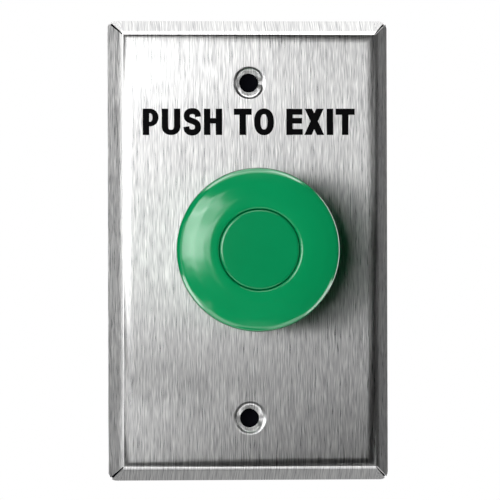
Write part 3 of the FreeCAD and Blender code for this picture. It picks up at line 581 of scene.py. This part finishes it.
def zinc_plated(place):
    """Bright zinc on steel, with fine crystals and a slight yellow tint."""
    crystals = place.noise(scale=900.0, detail=3.0)
    tint = place.noise(scale=160.0, detail=1.0)
    return {
        "Base Color": tint.mixed(colour(196, 200, 204), colour(214, 206, 186)),
        "Metallic": 1.0,
        "Roughness": 0.22 + 0.2 * crystals,
        "Normal": bumped(crystals, 0.006 * MM),
    }


black_plastic = coated(
    "black_moulded_plastic", moulded(colour(24, 24, 26), colour(40, 40, 42), 2400.0, 0.42)
)
nut_plastic = coated(
    "nut_filled_plastic", moulded(colour(30, 30, 31), colour(52, 52, 53), 1500.0, 0.5)
)
zinc = coated("zinc_plated_steel", zinc_plated)
thread_depths = np.linspace(THREAD_BACK, THREAD_FRONT, THREAD_ROWS)
housing_outline = rounded([
    *((BARREL_RADIUS, depth) for depth in thread_depths),
    (BARREL_RADIUS, FLANGE_BACK), (FLANGE_RADIUS, FLANGE_BACK), (FLANGE_RADIUS, FLANGE_FRONT),
    (BORE_RADIUS, FLANGE_FRONT, 0.3), (BORE_RADIUS, LEDGE_FRONT), (LEDGE_RADIUS, LEDGE_FRONT, 0.2),
    (LEDGE_RADIUS, LEDGE_BACK, 0.2), (BORE_RADIUS, LEDGE_BACK), (BORE_RADIUS, BARREL_END),
    (BARREL_RADIUS - 0.5, BARREL_END),
])
housing = joined("operator_housing_look", turned(housing_outline, 128, thread))
piece("operator_housing_look", housing, black_plastic, "frame", ("operator_housing",))
dressed("lock_washer", zinc)
dressed("lock_nut", nut_plastic, edge=0.15 * MM)


# Bezel ring
# A turned brass ring with satin chrome plating. It snaps over the flange and
# covers the gap round the neck of the head.

# The ring's sizes in millimetres, and the spacing of its turning marks in
# radians to a metre.
BEZEL_RADIUS = 14.8
BEZEL_FRONT = 10.6
BEZEL_BACK = 5.75
BEZEL_BORE = 9.7
BEZEL_CUP_RADIUS = 13.7
BEZEL_CUP_FLOOR = 9.85
TURNING_MARKS = 9000.0


def satin_chrome(place):
    """Faint turning marks in circles round the Y axis: a sine of the distance
    from the axis plus the depth."""
    radius = (place.part(0) * place.part(0) + place.part(2) * place.part(2)) ** 0.5
    rings = (TURNING_MARKS * (radius + place.part(1))).sine()
    stain = place.noise(scale=220.0, detail=2.0)
    return {
        "Base Color": stain.mixed(colour(190, 190, 188), colour(214, 214, 212)),
        "Metallic": 1.0,
        "Roughness": 0.2 + 0.12 * stain,
        "Normal": bumped(0.5 + 0.5 * rings, 0.004 * MM),
    }


bezel_outline = rounded([
    (BEZEL_CUP_RADIUS, BEZEL_BACK), (BEZEL_RADIUS, BEZEL_BACK), (BEZEL_RADIUS, BEZEL_FRONT, 1.2),
    (BEZEL_BORE, BEZEL_FRONT, 0.3), (BEZEL_BORE, BEZEL_CUP_FLOOR), (BEZEL_CUP_RADIUS, BEZEL_CUP_FLOOR),
])
bezel = joined("bezel_ring_look", turned(bezel_outline, 256))
chrome = coated("bezel_satin_chrome", satin_chrome)
piece("bezel_ring_look", bezel, chrome, "frame", ("bezel_ring",))


# Mushroom head and centre disc
# The head is one glossy green moulding with a skirt and a hollow neck. A disc of
# the same plastic is pressed into its recess and hides the screw.

# Sizes in millimetres, from the head's axis and from the wall's face. The edges
# of the groove round the disc are rounded, so that they catch the light.
HEAD_RADIUS = 20.2
HEAD_FACE = 30.5
HEAD_REAR = 22.2
DOME_ROUNDING = 10.0
RECESS_RADIUS = 9.95
RECESS_FLOOR = 28.3
GROOVE_ROUNDING = 0.8
HOLLOW_RADIUS = 17.4
HOLLOW_FLOOR = 26.0
NECK_RADIUS = 9.0
NECK_END = 8.9
NECK_BORE = 6.4
NECK_BORE_FLOOR = 24.6
SCREW_HOLE_RADIUS = 2.15
SCREW_SEAT = 25.9
SCREW_SEAT_RADIUS = 4.7
DISC_RADIUS = 9.85
SPIGOT_INNER = 4.0
SPIGOT_OUTER = 4.6
SPIGOT_END = 26.7
RIB_COUNT = 8
RIB_START = 7.7
RIB_END = 18.5
RIB_BACK = 23.8
RIB_FRONT = 26.5
RIB_THICKNESS = 1.2


def glossy_green(dark, light):
    """A smooth plastic under a clear gloss, with faint ripples and flow marks."""
    def look(place):
        flow = place.stretched((40, 40, 55)).noise(detail=2.0)
        ripple = place.noise(scale=420.0, detail=1.0)
        return {
            "Base Color": flow.mixed(dark, light),
            "Roughness": 0.13 + 0.05 * flow,
            "Coat Weight": 1.0,
            "Coat Roughness": 0.12,
            "Normal": bumped(ripple, 0.006 * MM),
        }
    return look


green = coated("green_glossy_plastic", glossy_green(colour(0, 138, 80), colour(2, 152, 92)))
disc_green = coated("disc_green_plastic", glossy_green(colour(0, 133, 78), colour(2, 145, 88)))
head_outline = rounded([
    (RECESS_RADIUS, RECESS_FLOOR), (RECESS_RADIUS, HEAD_FACE, GROOVE_ROUNDING),
    (12.6, HEAD_FACE, DOME_ROUNDING), (16.6, 29.45, DOME_ROUNDING), (HEAD_RADIUS, 27.8, 2.4),
    (HEAD_RADIUS - 0.3, HEAD_REAR, 0.5), (HOLLOW_RADIUS + 0.3, HEAD_REAR, 0.3),
    (HOLLOW_RADIUS, HOLLOW_FLOOR, 1.0), (NECK_RADIUS, HOLLOW_FLOOR, 1.0),
    (NECK_RADIUS, NECK_END), (NECK_BORE, NECK_END), (NECK_BORE, NECK_BORE_FLOOR),
    (SCREW_HOLE_RADIUS, NECK_BORE_FLOOR), (SCREW_HOLE_RADIUS, SCREW_SEAT),
    (SCREW_SEAT_RADIUS, SCREW_SEAT), (SCREW_SEAT_RADIUS, RECESS_FLOOR),
], 16)
head_points, head_faces = turned(head_outline, 320)

# Each rib is a box between the neck and the skirt, turned into its place.
box_corners = np.array([(i, j, k) for i in (0, 1) for j in (0, 1) for k in (0, 1)])
box_faces = np.array([
    (0, 1, 3, 2), (4, 6, 7, 5), (0, 4, 5, 1), (2, 3, 7, 6), (0, 2, 6, 4), (1, 5, 7, 3),
])
rib_size = (RIB_END - RIB_START, RIB_FRONT - RIB_BACK, RIB_THICKNESS)
along, depth, across = ((RIB_START, -RIB_FRONT, -RIB_THICKNESS / 2) + box_corners * rib_size).T * MM
for turn in np.radians((np.arange(RIB_COUNT) + 0.5) * 360.0 / RIB_COUNT):
    rib = np.stack([
        along * math.cos(turn) - across * math.sin(turn), depth,
        along * math.sin(turn) + across * math.cos(turn),
    ], -1)
    head_faces += (box_faces + len(head_points)).tolist()
    head_points = np.vstack([head_points, rib])
head = joined("mushroom_head_look", (head_points, head_faces))
piece("mushroom_head_look", head, green, "button", ("mushroom_head",))
disc_outline = rounded([
    (0.0, RECESS_FLOOR), (SPIGOT_INNER, RECESS_FLOOR), (SPIGOT_INNER, SPIGOT_END),
    (SPIGOT_OUTER, SPIGOT_END), (SPIGOT_OUTER, RECESS_FLOOR),
    (DISC_RADIUS, RECESS_FLOOR), (DISC_RADIUS, HEAD_FACE, GROOVE_ROUNDING), (0.0, HEAD_FACE),
])
disc = joined("centre_disc_look", turned(disc_outline, 256))
piece("centre_disc_look", disc, disc_green, "button", ("centre_disc",))


# Plunger, foot and their screws
# Grey acetal, moulded. One screw under the disc holds the head on the plunger,
# and one from behind holds the foot that works the contacts.

acetal = coated("grey_acetal", moulded(colour(112, 112, 110), colour(132, 132, 129), 1800.0, 0.36))
for node in ("plunger", "pusher_foot"):
    dressed(node, acetal)
for node in ("head_screw", "foot_screw"):
    dressed(node, zinc)


# Springs
# Coils of drawn steel wire with closed ends: one in the barrel, and two on the
# post of each contact block.

CLOSED_TURNS = 0.75
CLOSED_PITCH = 1.05
END_CLEARANCE = 0.05
STEPS_A_TURN = 36
WIRE_SIDES = 12
POST_X = 6.25

# Each spring's wire, mean radius, turns, and rear and front depth in millimetres,
# then how far its line is from the middle, and -1 for the left side.
SPRINGS = (
    ("return_spring", "frame", (0.9, 7.0, 5.5, -4.5, 6.2)),
    ("no_contact_spring", "no_moving", (0.4, 1.35, 4.5, -25.1, -20.6, POST_X)),
    ("no_return_spring", "frame", (0.4, 1.35, 6.5, -37.0, -27.2, POST_X)),
    ("nc_contact_spring", "nc_moving", (0.4, 1.35, 4.5, -27.15, -22.65, POST_X, -1)),
    ("nc_return_spring", "frame", (0.4, 1.35, 6.5, -37.0, -28.65, POST_X, -1)),
)


def drawn_wire(place):
    """Steel wire, a little uneven from the drawing."""
    lines = place.noise(scale=1500.0, detail=2.0)
    return {
        "Base Color": lines.mixed(colour(150, 150, 152), colour(196, 196, 198)),
        "Metallic": 1.0,
        "Roughness": 0.24 + 0.15 * lines,
        "Normal": bumped(lines, 0.004 * MM),
    }


def coil(wire, radius, turns, rear, front, x=0.0, side=1):
    """Round wire along a helix about a line at x, sizes in millimetres. Its depth
    climbs by about a wire a turn in the closed ends and evenly between them."""
    turn = np.linspace(0, turns, int(turns * STEPS_A_TURN) + 1)[:, None]
    rise = CLOSED_TURNS * wire * CLOSED_PITCH
    low = rear + wire / 2 + END_CLEARANCE
    high = front - wire / 2 - END_CLEARANCE
    stations = [0, CLOSED_TURNS, turns - CLOSED_TURNS, turns]
    climb = np.interp(turn, stations, [low, low + rise, high - rise, high])
    around = 2 * math.pi * (np.arange(WIRE_SIDES) + 0.5) / WIRE_SIDES
    out = radius + wire / 2 * np.cos(around)
    angle = 2 * math.pi * turn
    points = np.stack([
        side * (x + out * np.cos(angle)), -(climb + wire / 2 * np.sin(around)), out * np.sin(angle),
    ], -1).reshape(-1, 3)
    faces = grid_faces(len(turn), WIRE_SIDES, False)
    faces += [list(range(WIRE_SIDES)), list(range(len(points) - WIRE_SIDES, len(points)))]
    return points * MM, faces


wire = coated("drawn_spring_wire", drawn_wire)
springs = {}
for name, body, sizes in SPRINGS:
    mesh = joined(name + "_look", coil(*sizes))
    springs[name] = piece(name + "_look", mesh, wire, body, (name,), 50.0)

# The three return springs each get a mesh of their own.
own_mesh(springs["return_spring"])
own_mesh(springs["no_return_spring"])
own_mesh(springs["nc_return_spring"])


# Contact carrier
# A dark moulded collar, clamped on the barrel by two screws, that the hooks of
# the two contact blocks snap over.

carrier_plastic = coated(
    "carrier_moulded_plastic", moulded(colour(48, 48, 50), colour(64, 64, 66), 2000.0, 0.45)
)
dressed("contact_carrier", carrier_plastic, edge=0.2 * MM)
dressed("clamp_screws", zinc)


# Contact blocks
# Two moulded cases with a flat cover. A post slides in each, green in the one that
# closes and red in the other, and carries a brass bridge between two brass strips.

def rolled_brass(place):
    """Brass sheet with fine level marks from the rolling."""
    scratches = place.stretched((300, 300, 2200)).noise(detail=2.0)
    return {
        "Base Color": scratches.mixed(colour(196, 158, 84), colour(226, 192, 116)),
        "Metallic": 1.0,
        "Roughness": 0.22 + 0.15 * scratches,
        "Normal": bumped(scratches, 0.004 * MM),
    }


brass = coated("rolled_brass", rolled_brass)
block_plastic = coated(
    "block_moulded_plastic", moulded(colour(38, 38, 40), colour(54, 54, 56), 2200.0, 0.45)
)
cover_plastic = coated(
    "cover_moulded_plastic", moulded(colour(70, 70, 71), colour(88, 88, 89), 2200.0, 0.5)
)
post_green = coated(
    "post_green_plastic", moulded(colour(18, 120, 62), colour(26, 140, 74), 1600.0, 0.35)
)
post_red = coated(
    "post_red_plastic", moulded(colour(168, 22, 20), colour(188, 32, 28), 1600.0, 0.35)
)
BLOCKS = (("no", post_green, "no_green_plastic"), ("nc", post_red, "nc_red_plastic"))
for kind, post_plastic, post_slot in BLOCKS:
    dressed(kind + "_housing", block_plastic, edge=0.15 * MM)
    dressed(kind + "_cover", cover_plastic, edge=0.15 * MM)
    dressed(kind + "_actuator", post_plastic)
    dressed(kind + "_bridge", brass)
    dressed(kind + "_strip_upper", brass)
    dressed(kind + "_strip_lower", brass)
    dressed(kind + "_clamps", zinc, edge=0.1 * MM)
    dressed(kind + "_screws", zinc)


# Studio
# A pale floor below the object, and soft lamps from the left, above and behind that
# light its matte surfaces. Metal and gloss mirror glowing cards in a dark sphere.

CAMERA_DISTANCE = 1.6
CAMERA_AZIMUTH = -5.47
CAMERA_ELEVATION = -0.44
CAMERA_ROLL = -0.15
SENSOR_WIDTH = 36.0
FRAME_WIDTH = 124.58 * MM
AIM = Vector((0.53 * MM, 0.0, 0.13 * MM))
FLOOR_LEVEL = -160.0 * MM
FLOOR_RADIUS = 1.2
FLOOR_CORNERS = 96
CARD_RADIUS = 0.35
CARD_FACET = 8
WHITE = (1.0, 1.0, 1.0, 1.0)
CENTRE = (0.0, 0.0, 0.0)


def direction(azimuth, elevation):
    """The unit vector towards an azimuth a and an elevation e in degrees, or one
    for each of an array of them: (sin a cos e, -cos a cos e, sin e)."""
    azimuth, elevation = np.radians(azimuth), np.radians(elevation)
    flat = np.cos(elevation)
    return np.stack([np.sin(azimuth) * flat, -np.cos(azimuth) * flat, np.sin(elevation)], -1)


def aimed(thing, place, target):
    """Puts a lamp or camera at a place and turns it towards the target."""
    thing.location = place
    thing.rotation_euler = (Vector(target) - place).to_track_quat("-Z", "Y").to_euler()
    bpy.context.scene.collection.objects.link(thing)
    return thing


def lamp(name, azimuth, elevation, distance, size, level):
    """A rectangular soft light, seen from the object at an azimuth and an
    elevation in degrees. level is its brightness per unit of area and angle."""
    light = bpy.data.lights.new(name, "AREA")
    light.shape = "RECTANGLE"
    light.size, light.size_y = size
    light.energy = level * math.pi * size[0] * size[1]
    place = Vector(direction(azimuth, elevation)) * distance
    made = aimed(bpy.data.objects.new(name, light), place, CENTRE)
    made.visible_camera = False
    made.visible_glossy = False


def staged(name, vertices, faces, material):
    """A piece of the stage, which isn't part of the object."""
    mesh = bpy.data.meshes.new(name)
    mesh.from_pydata(vertices, [], faces)
    mesh.materials.append(material)
    made = bpy.data.objects.new(name, mesh)
    bpy.context.scene.collection.objects.link(made)
    return made


def card(name, azimuths, elevations, level, radius=CARD_RADIUS, centre=CENTRE, clear=0.0):
    """A glowing part of a sphere, between two azimuths and two elevations in
    degrees, that only shows in reflections. clear is 1 where the cards behind
    it show through in full."""
    columns, rows = (int(np.ptp(span) / CARD_FACET) + 2 for span in (azimuths, elevations))
    azimuth, elevation = np.meshgrid(np.linspace(*azimuths, columns), np.linspace(*elevations, rows))
    points = centre + radius * direction(azimuth, elevation)
    row, column = np.meshgrid(np.arange(rows - 1), np.arange(columns - 1), indexing="ij")
    first = (row * columns + column).reshape(-1, 1)
    faces = (first + [0, 1, columns + 1, columns]).tolist()

    def glow(start):
        light = start.node("ShaderNodeEmission", None, {"Color": WHITE, "Strength": level})
        behind = start.node("ShaderNodeBsdfTransparent", None, {"Color": (clear, clear, clear, 1.0)})
        return start.node("ShaderNodeAddShader", None, {0: light, 1: behind})

    made = staged(name, points.reshape(-1, 3).tolist(), faces, shaded(name, glow))
    made.visible_camera = False
    made.visible_diffuse = False
    made.visible_shadow = False


def background_rays(start):
    """1 for the rays by which the camera, metal or glass looks at the background."""
    rays = start.node("ShaderNodeLightPath").socket.node.outputs
    camera = Signal(start.tree, rays["Is Camera Ray"])
    mirrored = Signal(start.tree, rays["Is Glossy Ray"])
    through = Signal(start.tree, rays["Is Transmission Ray"])
    return camera.greater(mirrored.greater(through))


def pale_floor(start):
    """Matte near-white, fading to the white background with distance."""
    place = start.node("ShaderNodeTexCoord", None, None, "Object")
    radius = (place.part(0) * place.part(0) + place.part(1) * place.part(1)) ** 0.5
    fade = 1.0 - radius.below(0.7 * FLOOR_RADIUS, 0.28 * FLOOR_RADIUS)
    tone = place.noise(scale=60.0, detail=2.0).mixed(colour(236, 236, 235), colour(242, 242, 241))
    matte = start.node("ShaderNodeBsdfDiffuse", None, {"Color": tone})
    white = start.node("ShaderNodeEmission", None, {"Color": WHITE, "Strength": 1.0})
    seen = fade * background_rays(start)
    return start.node("ShaderNodeMixShader", None, {0: seen, 1: matte, 2: white})


def unlit(start):
    """Painted shade: black from the front, and clear from behind."""
    behind = start.node("ShaderNodeNewGeometry", None, None, "Backfacing")
    black = start.node("ShaderNodeBsdfDiffuse", None, {"Color": (0.004, 0.004, 0.006, 1.0)})
    clear = start.node("ShaderNodeBsdfTransparent")
    return start.node("ShaderNodeMixShader", None, {0: behind, 1: black, 2: clear})


# A white background, which lights the object at less than half of its level.
world = bpy.data.worlds.new("studio")
bpy.context.scene.world = world
world.use_nodes = True
sky = world.node_tree
sky.nodes.clear()
start = Signal(sky)
strength = 0.45 + 0.55 * background_rays(start)
background = start.node("ShaderNodeBackground", None, {"Color": WHITE, "Strength": strength})
sky.links.new(background.socket, sky.nodes.new("ShaderNodeOutputWorld").inputs["Surface"])

turn = np.linspace(0, 2 * math.pi, FLOOR_CORNERS, endpoint=False)
rim = np.stack([
    FLOOR_RADIUS * np.cos(turn), FLOOR_RADIUS * np.sin(turn), np.full(FLOOR_CORNERS, FLOOR_LEVEL),
], 1)
floor = staged("floor", rim.tolist(), [tuple(range(FLOOR_CORNERS))], shaded("floor_pale", pale_floor))
floor.visible_glossy = False

camera_data = bpy.data.cameras.new("camera")
camera_data.sensor_width = SENSOR_WIDTH
camera_data.lens = SENSOR_WIDTH * CAMERA_DISTANCE / FRAME_WIDTH
camera_data.clip_start = 0.01
camera_place = AIM + Vector(direction(CAMERA_AZIMUTH, CAMERA_ELEVATION)) * CAMERA_DISTANCE
camera = aimed(bpy.data.objects.new("camera", camera_data), camera_place, AIM)
camera.rotation_euler.rotate_axis("Z", math.radians(CAMERA_ROLL))
bpy.context.scene.camera = camera

lamp("key_window", -25.0, 9.0, 0.5, (0.34, 0.26), 4.6)
lamp("key_window_foot", -25.0, -10.0, 0.5, (0.34, 0.08), 1.0)
lamp("overhead", 0.0, 95.0, 0.7, (0.6, 0.4), 1.5)
lamp("back_fill", 155.0, 40.0, 0.9, (0.5, 0.5), 2.0)

# The dark sphere, and the cards in front of it by their azimuths, elevations and
# brightness. A tall window at the left is the main one.
card("card_unlit", (-180, 180), (-90, 90), 0.0, CARD_RADIUS + 0.01)
CARDS = (
    ("window", (-44, -24), (-4, 12), 4.9),
    ("window_upper", (-44, -24), (12, 24), 4.2),
    ("window_foot", (-44, -24), (-10, -4), 2.6),
    ("window_sill", (-54, -24), (-16, -10), 0.4),
    ("window_left", (-54, -44), (-6, 24), 2.8),
    ("window_right", (-24, -16), (4, 12), 3.3),
    ("window_right_far", (-16, -7), (4, 12), 2.7),
    ("window_right_upper", (-24, -16), (12, 24), 1.9),
    ("window_right_upper_far", (-16, -7), (12, 24), 1.0),
    ("window_right_foot", (-24, -7), (-4, 4), 1.8),
    ("window_right_sill", (-24, -7), (-12, -4), 0.3),
    ("left_wall", (-80, -54), (-4, 22), 0.7),
    ("left_wall_foot", (-80, -65), (-18, -4), 0.8),
    ("left_floor", (-68, -44), (-48, -34), 0.8),
    ("left_floor_far", (-120, -72), (-48, -20), 4.2),
    ("floor_left", (-110, -40), (-78, -48), 1.8),
    ("floor_front", (-40, 40), (-78, -56), 1.0),
    ("floor_front_edge", (-40, 40), (-56, -48), 0.4),
    ("floor_right", (40, 110), (-78, -48), 1.5),
    ("right_floor", (76, 120), (-48, -20), 3.2),
    ("floor_back_left", (-180, -110), (-78, -48), 0.42),
    ("floor_back_right", (110, 180), (-78, -48), 0.42),
    ("ceiling_front", (-60, 60), (52, 68), 1.5),
    ("ceiling_edge", (-60, 60), (68, 76), 3.4),
    ("ceiling_left", (-110, -60), (53, 76), 4.6),
    ("ceiling_right", (60, 110), (53, 76), 4.6),
    ("ceiling", (-110, 110), (76, 90), 1.6),
    ("ceiling_back_left", (-180, -110), (56, 90), 1.3),
    ("ceiling_back_right", (110, 180), (56, 90), 1.1),
    ("back_left_upper", (-180, -125), (42, 56), 2.0),
    ("back_right_upper", (125, 180), (42, 56), 1.8),
    ("back_right", (120, 180), (-20, 32), 1.6),
)
for name, azimuths, elevations, level in CARDS:
    card("card_" + name, azimuths, elevations, level)

# Small cards close by, which the cards behind show through: two that only reach
# the upper left of the head, and one for the lower left corner of the plate.
NEAR_HEAD = (0.0, -0.025, 0.0)
NEAR_CORNER = (-0.02, 0.0, -0.045)
card("card_head_top", (-53, -31), (24, 37), 3.4, 0.1, NEAR_HEAD, 0.7)
card("card_head_top_right", (-31, -19), (24, 37), 1.7, 0.1, NEAR_HEAD, 0.7)
card("card_foot_corner", (-64, -10), (-17, 8), 0.8, 0.06, NEAR_CORNER, 1.0)

# A black sheet of painted shade in the hollow of the plate, round the contact blocks. It makes the two
# screw holes look dark from the front, and only the camera sees it.
SHEET_Y = -0.3 * MM
SHEET_REACH = (34.2 * MM, 56.4 * MM)
SHEET_HOLE_REACH = 22.0 * MM
square = np.array([(-1, -1), (1, -1), (1, 1), (-1, 1)])
outline = np.vstack([square * SHEET_REACH, square * SHEET_HOLE_REACH])
corners = [(x, SHEET_Y, z) for x, z in outline.tolist()]
sides = [(i, (i + 1) % 4, 4 + (i + 1) % 4, 4 + i) for i in range(4)]
sheet = staged("painted_shade_sheet", corners, sides, shaded("painted_shade_black", unlit))
sheet.visible_diffuse = False
sheet.visible_glossy = False
sheet.visible_shadow = False

bpy.context.scene.view_settings.view_transform = "Standard"
